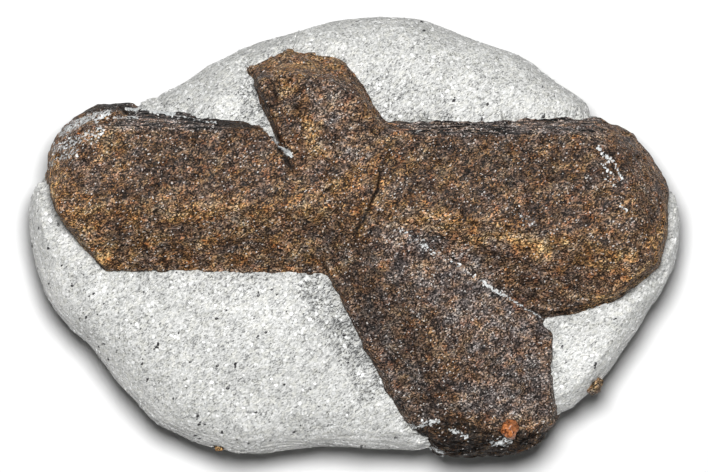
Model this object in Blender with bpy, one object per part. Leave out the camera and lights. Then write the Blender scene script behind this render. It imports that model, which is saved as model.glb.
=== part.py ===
# Two staurolite crystals grown through each other, in a rounded piece of mica schist.
# Metres, +Z up, X along the longer crystal. The piece lies on its sawn back, and
# the origin is on that back, under the middle of the piece.

import math

import bmesh
import bpy
from mathutils import Euler, Vector, noise
from mathutils.geometry import delaunay_2d_cdt

MM = 0.001

# Driving dimensions
LENGTH = 90 * MM            # of the schist, along X
WIDTH = 60 * MM             # of the schist, along Y
SCHIST_TOP = 20 * MM        # the schist's face above its back
GAP = 0.3 * MM              # between a crystal and its socket
TWIN_ANGLE = math.radians(62)      # between the two crystals, seen from above
SIDE_ANGLE = math.radians(64.65)   # from a prism face to the side face next to it

# Mesh sizes
RIM_POINTS = 116            # around the outline
GRID = 2.1 * MM             # triangles of the schist's face
TWIN_VOXEL = 0.45 * MM
TWIN_TRIANGLES = 4200
REMESH_GROWTH = 0.18 * MM   # taken off the crystals first, since remeshing fills corners

# The outline of the schist from above, in mm on a 90 x 60 mm piece, anticlockwise from
# the right
OUTLINE = [
    (45.0, 1.5), (44.6, 4.2), (43.4, 7.0), (41.3, 10.6), (38.4, 13.9), (35.0, 15.6),
    (31.4, 19.0), (27.6, 21.6), (22.4, 24.9), (15.6, 27.5), (9.4, 29.4), (3.5, 30.0),
    (-5.5, 28.9), (-13.0, 27.0), (-18.8, 24.1), (-23.6, 20.7), (-27.4, 19.2),
    (-31.6, 18.3), (-35.4, 18.3), (-38.2, 16.4), (-41.3, 13.0), (-42.5, 9.4),
    (-44.4, 6.4), (-45.0, 2.4), (-44.2, -3.0), (-41.6, -9.2), (-36.2, -15.6),
    (-30.2, -22.6), (-24.4, -27.0), (-18.0, -29.7), (-13.6, -30.0), (-7.5, -28.9),
    (0.0, -29.2), (8.0, -29.3), (13.4, -29.9), (18.5, -30.0), (24.2, -28.9),
    (27.6, -25.8), (33.8, -20.4), (36.8, -16.2), (40.6, -10.4), (43.2, -6.4),
    (44.6, -2.6),
]

# The schist's flank, from its sawn back up to its face: height above the back in mm,
# and how far the outline is drawn in there
FLANK = [
    (0.0, 7.5), (1.2, 5.2), (3.2, 3.0), (5.8, 1.2), (8.6, 0.3), (11.2, 0.0),
    (13.4, 0.3), (15.2, 1.1), (16.6, 2.3),
]

# The worn outer form that the crystals end at: the same flank, carried further up
CRYSTAL_FLANK = [
    (0.0, 7.3), (3.2, 2.9), (8.6, 0.2), (13.0, 0.0), (16.2, 0.5), (19.4, 1.4),
    (22.4, 2.8), (25.0, 4.6), (27.2, 7.2), (29.0, 11.0), (31.0, 17.0),
]

# Swells and hollows of the schist's face: place, height and radius, in mm
SWELLS = [
    (-20.0, -15.0, 1.4, 10.0),      # broad dome below the left arm
    (12.0, 22.0, 0.9, 9.0),         # above the right arm
    (-22.0, 20.0, 0.8, 5.0),        # beside the upper arm
    (1.5, -16.0, -1.4, 4.5),        # hollow along the lower arm
    (25.0, -13.5, -2.0, 5.0),       # corner between the right and the lower arm
    (-45.0, 8.0, 1.6, 4.0),         # rim at the left arm's end
    (-15.0, -27.5, 0.8, 4.0),       # lobe at the front
    (33.0, -15.0, -0.8, 5.0),       # bevel at the right
]

# Each arm is a length of a six-sided prism with broken ends. ridge: where its top edge
# runs, across and up; roll: how far its top face leans to that side; prism: the angle
# between its top and lower faces; skew: how far the edge between those is worn out of
# line; widths of its top, lower and side faces; dive: how fast it goes down along its
# length; root: how far down into the schist it goes; span: how far it runs; breaks: the
# sides of its broken ends, as two points seen from above and how far the side leans
# back. All in mm and degrees.
LONG_AXIS = 0.0
SHORT_AXIS = -TWIN_ANGLE
ARMS = {
    "long_left": {
        "axis": LONG_AXIS, "span": (-47, 6), "ridge": (3.9, 26.4), "roll": 11.0,
        "prism": 46.5, "skew": 0.0, "widths": (11.0, 13.5, 20.0), "dive": 0.0, "root": 9.1,
        "breaks": [
            ((-34.4, -5.2), (-2.0, -5.4), 8), ((-9.2, 12.0), (-13.9, 15.0), 3),
            ((-13.9, 15.6), (-30.0, 17.3), 3), ((-42.3, 12.6), (-42.3, 5.4), 4),
            ((-42.1, 5.4), (-40.3, 2.2), 4), ((-40.3, 2.2), (-34.1, -5.0), 6),
        ],
    },
    "left_ledge": {
        "axis": LONG_AXIS, "span": (-42, -30), "ridge": (13.0, 22.8), "roll": 16.0,
        "prism": 50.7, "skew": 0.0, "widths": (5.2, 6.0, 20.0), "dive": 0.0, "root": 10.3,
        "breaks": [((-30.6, 13.0), (-32.0, 20.0), 22)],
    },
    "long_right": {
        "axis": LONG_AXIS, "span": (-3, 48), "ridge": (4.3, 26.6), "roll": 10.0,
        "prism": 44.0, "skew": -9.0, "widths": (10.2, 19.0, 20.0), "dive": 0.6, "root": 8.6,
        "breaks": [
            ((35.0, 16.5), (5.0, 16.0), 2), ((4.35, 15.9), (-2.0, -0.6), 0),
            ((20.0, -10.9), (29.2, -10.7), 14), ((29.2, -10.7), (35.8, -9.0), 14),
            ((35.8, -9.0), (41.8, -3.9), 7), ((41.8, -3.9), (43.0, 0.6), 3),
            ((43.0, 0.6), (43.1, 6.0), 2),
        ],
    },
    "short_upper": {
        "axis": SHORT_AXIS, "span": (-30, 2), "ridge": (-0.1, 26.9), "roll": 14.0,
        "prism": 38.0, "skew": -11.0, "widths": (15.0, 12.0, 20.0), "dive": 3.0, "root": 11.2,
        "breaks": [
            ((4.7, 15.1), (1.2, 20.9), 13), ((1.2, 20.9), (-2.7, 24.4), 17),
            ((-3.0, 23.9), (-8.9, 24.8), 18), ((-8.9, 24.8), (-13.4, 22.8), 16),
            ((-14.0, 22.2), (-10.7, 14.2), 8), ((-10.7, 14.2), (-6.6, 8.8), 4),
        ],
    },
    "short_lower": {
        "axis": SHORT_AXIS, "span": (-4, 43), "ridge": (1.9, 26.8), "roll": 21.0,
        "prism": 50.7, "skew": 0.0, "widths": (19.0, 9.0, 20.0), "dive": 7.5, "root": 8.0,
        "breaks": [
            ((-3.4, -5.9), (6.4, -24.2), 8), ((5.6, -21.6), (8.7, -26.2), 20),
            ((8.8, -26.2), (11.9, -29.8), 4), ((27.0, -26.0), (26.5, -13.4), 6),
            ((26.6, -13.2), (24.6, -10.8), 8),
        ],
    },
}
BREAK_LEVEL = 18 * MM       # the height at which the breaks run through their points

# Grooves in the crystals: points from above, half width and depth, in mm
GROOVES = {
    "twin_crack": ([(4.3, 11.6), (3.2, 8.0), (1.9, 4.4), (0.3, 0.6)], 0.55, 0.9),
    "arm_seam": ([(6.0, 1.6), (12.0, -2.4), (18.6, -6.6), (25.6, -11.2)], 0.6, 0.6),
    "cross_crack": ([(-16.6, 4.4), (-16.2, -0.5), (-15.8, -4.8)], 0.4, 0.4),
    "notch": ([(28.4, -17.8), (26.6, -17.5), (25.2, -17.9)], 0.5, 0.8),
    "tongue": ([(-13.2, 15.2), (-10.2, 12.6), (-9.0, 11.2), (-7.9, 9.2)], 0.7, 0.9),
}

# Small crystals: place, half sizes in mm, and the axis each is turned about
SMALL_CRYSTALS = {
    "rim_crystal": {"at": (33.2, -20.7, 13.4), "half": (1.5, 0.85, 1.4), "turn": (-12, 6, 50)},
    "front_crystal": {"at": (-18.5, -28.9, 12.2), "half": (1.0, 0.8, 0.8), "turn": (20, 10, 15)},
    "garnet_grain": {"at": (21.4, -26.5, 20.0), "half": (1.15, 1.35, 1.5), "turn": (12, -20, 30)},
}

COLOURS = {
    "schist": ((0.66, 0.67, 0.65), 0.62),
    "staurolite": ((0.115, 0.070, 0.044), 0.42),
    "garnet": ((0.36, 0.105, 0.040), 0.38),
}


# General helpers

def clear_scene():
    for obj in list(bpy.data.objects):
        bpy.data.objects.remove(obj, do_unlink=True)


def material(name):
    colour, roughness = COLOURS[name]
    made = bpy.data.materials.new(name)
    made.use_nodes = True
    shader = made.node_tree.nodes["Principled BSDF"]
    shader.inputs["Base Color"].default_value = (*colour, 1)
    shader.inputs["Roughness"].default_value = roughness
    shader.inputs["Metallic"].default_value = 0.0
    return made


def object_from(name, bm, finish=None):
    mesh = bpy.data.meshes.new(name)
    bmesh.ops.recalc_face_normals(bm, faces=bm.faces)
    bm.to_mesh(mesh)
    bm.free()
    obj = bpy.data.objects.new(name, mesh)
    bpy.context.scene.collection.objects.link(obj)
    if finish:
        mesh.materials.append(finish)
    return obj


def as_cutter(obj):
    obj.hide_render = True
    obj.display_type = "WIRE"
    return obj


def boolean(obj, other, operation):
    modifier = obj.modifiers.new(f"{operation.lower()} {other.name}", "BOOLEAN")
    modifier.operation = operation
    modifier.solver = "EXACT"
    modifier.object = other
    return modifier


def apply_modifiers(obj):
    bpy.context.view_layer.update()
    evaluated = obj.evaluated_get(bpy.context.evaluated_depsgraph_get())
    mesh = bpy.data.meshes.new_from_object(evaluated)
    obj.modifiers.clear()
    obj.data = mesh


def smoothstep(low, high, value):
    share = min(max((value - low) / (high - low), 0.0), 1.0)
    return share * share * (3 - 2 * share)


# Closed curves and solids

def on_piece(x, y):
    """A point given in mm on a 90 x 60 mm piece, at the size of this one."""
    return Vector((x * LENGTH / 90, y * WIDTH / 60))


def smooth_loop(points, count):
    """A closed curve through the points, as count points evenly spaced along it."""
    steps = 12
    fine = []
    for i in range(len(points)):
        a, b, c, d = (points[(i + k) % len(points)] for k in (-1, 0, 1, 2))
        for step in range(steps):
            t = step / steps
            fine.append(0.5 * (2 * b + (c - a) * t + (2 * a - 5 * b + 4 * c - d) * t**2
                               + (3 * b - a - 3 * c + d) * t**3))
    lengths = [0.0]
    for i, point in enumerate(fine):
        lengths.append(lengths[-1] + (fine[(i + 1) % len(fine)] - point).length)
    loop, at = [], 0
    for i in range(count):
        wanted = lengths[-1] * i / count
        while lengths[at + 1] < wanted:
            at += 1
        share = (wanted - lengths[at]) / (lengths[at + 1] - lengths[at])
        loop.append(fine[at].lerp(fine[(at + 1) % len(fine)], share))
    return loop


def moved_in(loop, distance):
    """The loop with each point moved towards the middle by the distance."""
    return [point * (1 - distance / point.length) for point in loop]


def loft(rings, close_top=True):
    """A bmesh of closed rings of equal count, bridged in order, with its ends filled."""
    bm = bmesh.new()
    rows = [[bm.verts.new(point) for point in ring] for ring in rings]
    for low, high in zip(rows, rows[1:]):
        for i in range(len(low)):
            j = (i + 1) % len(low)
            bm.faces.new((low[i], low[j], high[j], high[i]))
    bm.faces.new(rows[0][::-1])
    if close_top:
        bm.faces.new(rows[-1])
    return bm, rows


# The schist

def rim_share(x, y):
    """How far out a point is: 0 in the middle of the piece, 1 at the outline."""
    return math.hypot(x / (LENGTH / 2), y / (WIDTH / 2))


def face_height(x, y, edge):
    """The height of the schist's face, where edge is its height at the shoulder."""
    inwards = 1 - smoothstep(0.30, 1.0, rim_share(x, y))
    height = edge + (SCHIST_TOP - edge) * inwards**0.6
    for at_x, at_y, swell, radius in SWELLS:
        place = on_piece(at_x, at_y)
        away = (Vector((x, y)) - place).length / (radius * MM)
        height += swell * MM * math.exp(-away * away)
    return height


def weathered(point, normal):
    """A point of the schist's skin, roughened: lumps, and ledges along the foliation."""
    exposed = smoothstep(0.4 * MM, 3.0 * MM, point.z)
    lumps = 0.42 * noise.noise(point / (7.0 * MM)) + 0.26 * noise.noise(point / (2.9 * MM))
    flank = 1 - abs(normal.z)
    layer = (point.z + 0.10 * point.x - 0.06 * point.y) / (2.1 * MM)
    layer += 0.5 * noise.noise(point / (12 * MM))
    step = layer - math.floor(layer)
    front = smoothstep(14 * MM, 26 * MM, -point.y) * smoothstep(26 * MM, 12 * MM, abs(point.x + 12 * MM))
    ledge = (0.30 + 0.35 * front) * flank * (smoothstep(0.0, 0.75, step) - smoothstep(0.75, 1.0, step) - 0.4)
    return point + normal * (lumps + ledge) * exposed * MM


def schist_body(finish):
    outline = smooth_loop([on_piece(x, y) for x, y in OUTLINE], RIM_POINTS)
    rings = []
    for height, drawn_in in FLANK:
        ring = moved_in(outline, drawn_in * MM)
        rings.append([Vector((p.x, p.y, height * MM)) for p in ring])
    bm, rows = loft(rings, close_top=False)
    add_face(bm, rows[-1], FLANK[-1][0] * MM)
    bm.normal_update()
    foot = {vert for vert in rows[0]}
    moved = {vert: weathered(vert.co, vert.normal) for vert in bm.verts if vert not in foot}
    for vert, place in moved.items():
        vert.co = place
    return object_from("schist", bm, finish)


def add_face(bm, shoulder, edge):
    """Fills the loop of shoulder vertices with an even triangle grid at the face's height."""
    loop = [vert.co.xy.copy() for vert in shoulder]
    points = list(loop)
    rows = int(WIDTH / (GRID * math.sqrt(3) / 2)) + 1
    columns = int(LENGTH / GRID) + 1
    inner = moved_in(loop, 1.4 * MM)
    for row in range(rows):
        for column in range(columns):
            x = (column + 0.5 * (row % 2) - columns / 2) * GRID
            y = (row - rows / 2) * GRID * math.sqrt(3) / 2
            if inside(Vector((x, y)), inner):
                points.append(Vector((x, y)))
    sides = [(i, (i + 1) % len(loop)) for i in range(len(loop))]
    found, _, faces, *_ = delaunay_2d_cdt(points, sides, [list(range(len(loop)))], 1, 1e-7)
    verts = list(shoulder)
    for point in found[len(loop):]:
        verts.append(bm.verts.new((point.x, point.y, face_height(point.x, point.y, edge))))
    for corners in faces:
        bm.faces.new([verts[i] for i in corners])


def inside(point, loop):
    """Whether a point is inside a loop that every ray from the middle crosses once."""
    angle = math.atan2(point.y, point.x)
    nearest = min(loop, key=lambda p: abs(math.remainder(math.atan2(p.y, p.x) - angle, math.tau)))
    return point.length < nearest.length


# The crystals

def prism_planes(arm):
    """The six faces of an arm's prism and its root, as a point and the way out at each."""
    roll, prism = math.radians(arm["roll"]), math.radians(arm["prism"])
    top, lower, side = (width * MM for width in arm["widths"])
    axis = arm["axis"]
    along = Vector((math.cos(axis), math.sin(axis), -math.tan(math.radians(arm["dive"]))))
    across = Vector((-math.sin(axis), math.cos(axis), 0))
    up = Vector((0, 0, 1))

    def downhill(lean):
        return across * math.cos(lean) - up * math.sin(lean)

    ridge = across * arm["ridge"][0] * MM + up * arm["ridge"][1] * MM
    shoulder = ridge + downhill(roll) * top
    side_foot = shoulder + downhill(roll + SIDE_ANGLE) * side
    lower_end = ridge - downhill(roll - prism) * lower
    other_foot = lower_end + downhill(roll + SIDE_ANGLE) * side
    top_out = along.cross(downhill(roll))
    edge = along.copy()
    edge.rotate(Euler((0, 0, math.radians(arm["skew"]))))
    edge.z = -(top_out.x * edge.x + top_out.y * edge.y) / top_out.z
    return [
        (ridge, top_out),
        (ridge, edge.cross(downhill(roll - prism))),
        (shoulder, along.cross(downhill(roll + SIDE_ANGLE))),
        (lower_end, -along.cross(downhill(roll + SIDE_ANGLE))),
        (side_foot, -along.cross(downhill(roll - prism))),
        (other_foot, -along.cross(downhill(roll))),
        (up * arm["root"] * MM, -up),
    ]


def break_planes(arm):
    """The broken sides of an arm, and its two cut ends, as a point and the way out."""
    axis = arm["axis"]
    along = Vector((math.cos(axis), math.sin(axis), 0))
    start, end = arm["span"]
    planes = [(along * start * MM, -along), (along * end * MM, along)]
    for a, b, lean in arm["breaks"]:
        a, b = on_piece(*a), on_piece(*b)
        way = (b - a).normalized()
        lean = math.radians(lean)
        out = Vector((way.y * math.cos(lean), -way.x * math.cos(lean), math.sin(lean)))
        planes.append((Vector((a.x, a.y, BREAK_LEVEL)), out))
    return planes


def convex_solid(name, planes, grow):
    """What is left of a large box behind all of the planes, each moved out by grow."""
    bm = bmesh.new()
    bmesh.ops.create_cube(bm, size=4 * LENGTH)
    for place, out in planes:
        out = out.normalized()
        geometry = bm.verts[:] + bm.edges[:] + bm.faces[:]
        cut = bmesh.ops.bisect_plane(
            bm, geom=geometry, dist=1e-7, plane_co=place + out * grow, plane_no=out, clear_outer=True
        )
        edges = [part for part in cut["geom_cut"] if isinstance(part, bmesh.types.BMEdge)]
        if edges:
            bmesh.ops.contextual_create(bm, geom=edges)
    return object_from(name, bm)


def arm_solid(name, arm, grow):
    return convex_solid(name, prism_planes(arm) + break_planes(arm), grow)


def joined_arms(name, grow):
    """The arms grown together into one body, grow bigger all round."""
    arms = [arm_solid(f"{name}_{key}", arm, grow) for key, arm in ARMS.items()]
    body = arms[0]
    for other in arms[1:]:
        boolean(body, other, "UNION")
    apply_modifiers(body)
    for other in arms[1:]:
        bpy.data.objects.remove(other)
    body.name = name
    return body


def worn_form():
    """The rounded form that the crystals' outer ends are worn to."""
    outline = smooth_loop([on_piece(x, y) for x, y in OUTLINE], RIM_POINTS)
    rings = []
    for height, drawn_in in CRYSTAL_FLANK:
        ring = moved_in(outline, drawn_in * MM)
        rings.append([Vector((p.x, p.y, height * MM)) for p in ring])
    return as_cutter(object_from("worn_form", loft(rings)[0]))


def groove_depth(point, groove):
    """How deep a groove is at a point of the crystals, in mm."""
    line, half_width, depth = groove
    nearest = min(
        distance_to_side(point.xy, on_piece(*a), on_piece(*b)) for a, b in zip(line, line[1:])
    )
    return depth * (1 - smoothstep(0.0, half_width * MM, nearest))


def distance_to_side(point, a, b):
    side = b - a
    share = min(max((point - a).dot(side) / side.length_squared, 0.0), 1.0)
    return (point - a - side * share).length


def crystal_wear(point, normal):
    """How deep the crystals' skin is pitted at a point, in metres. It never stands out."""
    exposed = smoothstep(13 * MM, 18 * MM, point.z)
    pits = 0.16 + 0.22 * noise.noise(point / (4.2 * MM)) + 0.20 * noise.noise(point / (1.7 * MM))
    long_arm = smoothstep(6 * MM, 12 * MM, point.x) * smoothstep(-0.9, -0.3, -abs(normal.x))
    side = smoothstep(0.25, 0.8, abs(normal.y))
    bands = point.z * 1.3 - point.y * 0.5 + 0.35 * MM * noise.noise(point / (9 * MM))
    step = bands / (1.5 * MM) - math.floor(bands / (1.5 * MM))
    ridges = 0.42 * side * long_arm * smoothstep(0.1, 0.9, step)
    splinter = smoothstep(-22 * MM, -27 * MM, point.y) * smoothstep(23.5 * MM, 20 * MM, point.z)
    splinters = 0.9 * splinter * abs(noise.noise(Vector((point.x / 4, point.y, point.z)) / (1.4 * MM)))
    cracks = max(groove_depth(point, groove) for groove in GROOVES.values())
    return max(pits + ridges + splinters + cracks, 0.0) * exposed * MM


def twin(finish):
    body = joined_arms("staurolite_twin", -REMESH_GROWTH)
    worn = worn_form()
    boolean(body, worn, "INTERSECT")
    remesh = body.modifiers.new("remesh", "REMESH")
    remesh.mode = "VOXEL"
    remesh.voxel_size = TWIN_VOXEL
    apply_modifiers(body)
    bpy.data.objects.remove(worn)
    mesh = body.data
    wear = [crystal_wear(vert.co, vert.normal) for vert in mesh.vertices]
    normals = [vert.normal.copy() for vert in mesh.vertices]
    for vert, normal, depth in zip(mesh.vertices, normals, wear):
        vert.co -= normal * depth
    decimate = body.modifiers.new("decimate", "DECIMATE")
    decimate.ratio = TWIN_TRIANGLES / (2 * len(mesh.polygons))
    apply_modifiers(body)
    body.data.materials.clear()
    body.data.materials.append(finish)
    return body


def small_crystal(name, spec, finish=None, grow=0.0):
    """A stubby six-sided crystal with bevelled ends."""
    bm = bmesh.new()
    bmesh.ops.create_cone(bm, cap_ends=True, segments=6, radius1=1.0, radius2=1.0, depth=2.0)
    caps = [edge for edge in bm.edges if abs(edge.verts[0].co.z - edge.verts[1].co.z) < 0.1]
    bmesh.ops.bevel(bm, geom=caps, offset=0.35, segments=1, affect="EDGES")
    turn = Vector([math.radians(angle) for angle in spec["turn"]])
    for vert in bm.verts:
        for i, half in enumerate(spec["half"]):
            vert.co[i] *= half * MM + grow
    place = on_piece(*spec["at"][:2])
    bmesh.ops.rotate(bm, verts=bm.verts, matrix=Euler(turn).to_matrix())
    bmesh.ops.translate(bm, verts=bm.verts, vec=(place.x, place.y, spec["at"][2] * MM))
    return object_from(name, bm, finish)


def main():
    clear_scene()
    schist_finish = material("schist")
    staurolite_finish = material("staurolite")
    garnet_finish = material("garnet")

    schist = schist_body(schist_finish)
    crystals = twin(staurolite_finish)
    socket = as_cutter(joined_arms("twin_socket", GAP))
    boolean(schist, socket, "DIFFERENCE")
    for name, spec in SMALL_CRYSTALS.items():
        host = crystals if name == "garnet_grain" else schist
        finish = garnet_finish if name == "garnet_grain" else staurolite_finish
        small_crystal(name, spec, finish)
        own_socket = as_cutter(small_crystal(f"{name}_socket", spec, grow=GAP))
        boolean(host, own_socket, "DIFFERENCE")


main()
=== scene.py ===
# A cross of two staurolite crystals in a rounded piece of pale mica schist, seen from above.
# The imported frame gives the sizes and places, and this script gives the looks.
import math

import bmesh
import bpy
import numpy as np
from mathutils.bvhtree import BVHTree
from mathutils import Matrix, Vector, noise


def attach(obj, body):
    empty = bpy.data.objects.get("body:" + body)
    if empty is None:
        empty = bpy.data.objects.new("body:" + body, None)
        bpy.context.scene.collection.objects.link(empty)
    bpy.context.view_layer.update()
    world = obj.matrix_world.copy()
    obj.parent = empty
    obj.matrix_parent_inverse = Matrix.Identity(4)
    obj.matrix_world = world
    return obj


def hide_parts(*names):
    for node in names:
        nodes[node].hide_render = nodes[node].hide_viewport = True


mm = 0.001

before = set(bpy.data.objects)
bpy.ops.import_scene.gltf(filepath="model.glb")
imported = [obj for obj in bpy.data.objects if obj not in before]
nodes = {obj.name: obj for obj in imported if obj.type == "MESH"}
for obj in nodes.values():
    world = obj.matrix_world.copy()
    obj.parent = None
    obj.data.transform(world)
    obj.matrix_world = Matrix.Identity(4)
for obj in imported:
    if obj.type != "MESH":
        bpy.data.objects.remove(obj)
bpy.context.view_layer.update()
scene = bpy.context.scene
print("frame loaded")


# numbers, meshes and masks

# 0 below the low end, 1 above the high one and smooth between; the ends may be swapped
def smoothStep(low, high, values):
    share = np.clip((values - low) / (high - low), 0.0, 1.0)
    return share * share * (3 - 2 * share)


# The same for distances, with the two ends in mm
def stepOver(low, high, distances):
    return smoothStep(low * mm, high * mm, distances)


# Smooth noise between -1 and 1 at each point, with lumps about as large as size
def noiseAt(points, size, shift=0.0):
    return np.array([noise.noise(place) for place in (points / size + shift).tolist()])


def pointsOf(mesh):
    points = np.empty(len(mesh.vertices) * 3)
    mesh.vertices.foreach_get("co", points)
    return points.reshape(-1, 3)


def normalsOf(mesh):
    normals = np.empty(len(mesh.vertices) * 3, np.float32)
    mesh.vertex_normals.foreach_get("vector", normals)
    return normals.reshape(-1, 3).astype(float)


def movePoints(mesh, points):
    mesh.vertices.foreach_set("co", points.astype(np.float32).ravel())
    mesh.update()


def addMask(mesh, name, values):
    mask = mesh.attributes.new(name, "FLOAT", "POINT")
    mask.data.foreach_set("value", np.clip(values, 0.0, 1.0).astype(np.float32))


# Lumps of several sizes and heights in mm, added up
def reliefOf(points, lumps):
    return sum(height * noiseAt(points, size * mm) for size, height in lumps)


# 1 for points under a line drawn from above, in mm, and 0 past its width; the core is
# the share of the width that is still 1
def nearLine(points, line, width, core=0.25):
    nearest = np.full(len(points), np.inf)
    flat = points[:, :2]
    for start, end in zip(line, line[1:]):
        a, b = np.array(start) * mm, np.array(end) * mm
        along = np.clip((flat - a) @ (b - a) / ((b - a) @ (b - a)), 0.0, 1.0)
        away = np.linalg.norm(flat - a - along[:, None] * (b - a), axis=1)
        nearest = np.minimum(nearest, away)
    return 1 - stepOver(core * width, width, nearest)


# The strongest of several lines at each point; each has its own width and strength
def nearLines(points, lines):
    return np.max([strength * nearLine(points, line, width) for line, width, strength in lines], axis=0)


def linkPiece(name, mesh):
    piece = bpy.data.objects.new(name, mesh)
    scene.collection.objects.link(piece)
    return piece


# Gives a piece the plain mesh that its modifiers make, and takes them off
def settle(piece):
    bpy.context.view_layer.update()
    graph = bpy.context.evaluated_depsgraph_get()
    mesh = bpy.data.meshes.new_from_object(piece.evaluated_get(graph))
    piece.modifiers.clear()
    piece.data = mesh


# A finely meshed skin over a CAD node, with its small facets rounded off
def skinOf(nodeName, pieceName, voxel, rounding):
    mesh = nodes[nodeName].data.copy()
    mesh.materials.clear()
    weldDistance = 0.001 * mm
    merged = bmesh.new()
    merged.from_mesh(mesh)
    bmesh.ops.remove_doubles(merged, verts=merged.verts, dist=weldDistance)
    merged.to_mesh(mesh)
    merged.free()
    piece = linkPiece(pieceName, mesh)
    remesh = piece.modifiers.new("fine mesh", "REMESH")
    remesh.mode = "VOXEL"
    remesh.voxel_size = voxel
    smooth = piece.modifiers.new("rounding", "SMOOTH")
    smooth.factor = 0.5
    smooth.iterations = rounding
    settle(piece)
    return piece


def treeOf(piece):
    mesh = piece.data
    return BVHTree.FromPolygons(pointsOf(mesh).tolist(), [tuple(face.vertices) for face in mesh.polygons])


# Closes the clearance to a neighbour: points near its skin move onto it and a little
# way in. Points of a shell over the neighbour face the same way as it does, and are
# kept clear of it by the cover. Gives the moved points and how far each one was away.
def closeGap(points, outward, neighbour, reach, sink, cover=0.35 * mm, alike=(0.75, 0.92)):
    farthest = 3 * reach
    moved, distances = points.copy(), np.full(len(points), farthest)
    for i, place in enumerate(points.tolist()):
        nearest, normal, _, distance = neighbour.find_nearest(place, farthest)
        if nearest is None:
            continue
        distances[i] = distance
        covering = smoothStep(*alike, np.dot(normal, outward[i]))
        if distance < 2 * reach:
            weight = (1 - smoothStep(reach, 2 * reach, distance)) * (1 - covering)
            target = nearest - normal * sink[i]
            moved[i] += (np.array(target) - moved[i]) * weight
        height = np.dot(points[i] - np.array(nearest), normal)
        if distance < reach and height < cover:
            moved[i] += np.array(normal) * (cover - height) * covering
    return moved, distances


# node helpers

# Gives an input a plain value or another node's output
def feed(tree, socket, value):
    if isinstance(value, bpy.types.NodeSocket):
        tree.links.new(value, socket)
    else:
        socket.default_value = value


def addNode(tree, kind, inputs=None, **settings):
    made = tree.nodes.new(kind)
    for name, value in settings.items():
        setattr(made, name, value)
    for key, value in (inputs or {}).items():
        feed(tree, made.inputs[key], value)
    return made


# Finds a socket where several on one node share a name
def socketOf(sockets, identifier):
    return next(socket for socket in sockets if socket.identifier == identifier)


def addMath(tree, operation, *values):
    return addNode(tree, "ShaderNodeMath", dict(enumerate(values)), operation=operation).outputs[0]


def addMix(tree, factor, first, second, blend="MIX"):
    mix = addNode(tree, "ShaderNodeMix", data_type="RGBA", blend_type=blend)
    for identifier, value in (("Factor_Float", factor), ("A_Color", first), ("B_Color", second)):
        feed(tree, socketOf(mix.inputs, identifier), value)
    return socketOf(mix.outputs, "Result_Color")


# A random number or vector for each copy, between two values
def addRandom(tree, kind, low, high, seed):
    made = addNode(tree, "FunctionNodeRandomValue", data_type=kind)
    ending = "_001" if kind == "FLOAT" else ""
    for label, value in (("Min" + ending, low), ("Max" + ending, high), ("Seed", seed)):
        feed(tree, socketOf(made.inputs, label), value)
    return socketOf(made.outputs, "Value" + ending)


def addScale(tree, vector, factor):
    return addNode(tree, "ShaderNodeVectorMath", {0: vector, "Scale": factor}, operation="SCALE").outputs[0]


def addRamp(tree, value, stops):
    ramp = addNode(tree, "ShaderNodeValToRGB", {"Fac": value})
    bands = ramp.color_ramp.elements
    while len(bands) < len(stops):
        bands.new(0.5)
    for band, (at, colour) in zip(bands, stops):
        band.position = at
        band.color = (*colour, 1)
    return ramp.outputs["Color"]


def addMapRange(tree, value, low, high, toLow=0.0, toHigh=1.0):
    inputs = {"Value": value, "From Min": low, "From Max": high, "To Min": toLow, "To Max": toHigh}
    return addNode(tree, "ShaderNodeMapRange", inputs).outputs[0]


# A start value plus each of several values times its share
def addSum(tree, start, values, shares):
    total = start
    for value, share in zip(values, shares):
        total = addMath(tree, "MULTIPLY_ADD", value, share, total)
    return total


# A brightness times a factor that goes with a mask, from its bare value to its full one
def addShading(tree, light, mask, bareAndFull):
    return addMath(tree, "MULTIPLY", light, addMapRange(tree, mask, 0.0, 1.0, *bareAndFull))


def newGroup(name, inputs, outputs):
    group = bpy.data.node_groups.new(name, "ShaderNodeTree")
    for socketName, kind, value in inputs:
        socket = group.interface.new_socket(socketName, in_out="INPUT", socket_type=kind)
        if value is not None:
            socket.default_value = value
    for socketName, kind in outputs:
        group.interface.new_socket(socketName, in_out="OUTPUT", socket_type=kind)
    return group, group.nodes.new("NodeGroupInput").outputs, group.nodes.new("NodeGroupOutput").inputs


# Interlocked mineral grains: a random tone and a second one for each, and how far a
# point is from the middle of its grain
def makeGrainGroup():
    group, given, result = newGroup(
        "mineral grains",
        [("Coordinates", "NodeSocketVector", None), ("Grains Per Metre", "NodeSocketFloat", 3000.0),
         ("Raggedness", "NodeSocketFloat", 0.4)],
        [("Tone", "NodeSocketFloat"), ("Second Tone", "NodeSocketFloat"), ("Roundness", "NodeSocketFloat")],
    )
    wobble = addNode(group, "ShaderNodeTexNoise", {
        "Vector": given["Coordinates"], "Scale": given["Grains Per Metre"], "Detail": 1.0,
    })
    centred = addNode(group, "ShaderNodeVectorMath", {
        0: wobble.outputs["Color"], 1: (0.5, 0.5, 0.5),
    }, operation="SUBTRACT")
    amount = addMath(group, "DIVIDE", given["Raggedness"], given["Grains Per Metre"])
    place = addNode(group, "ShaderNodeVectorMath", {
        0: given["Coordinates"], 1: addScale(group, centred.outputs[0], amount),
    }, operation="ADD")
    cells = addNode(group, "ShaderNodeTexVoronoi", {
        "Vector": place.outputs[0], "Scale": given["Grains Per Metre"],
    })
    tones = addNode(group, "ShaderNodeSeparateColor", {"Color": cells.outputs["Color"]})
    group.links.new(tones.outputs["Red"], result["Tone"])
    group.links.new(tones.outputs["Green"], result["Second Tone"])
    group.links.new(cells.outputs["Distance"], result["Roundness"])
    return group


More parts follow.
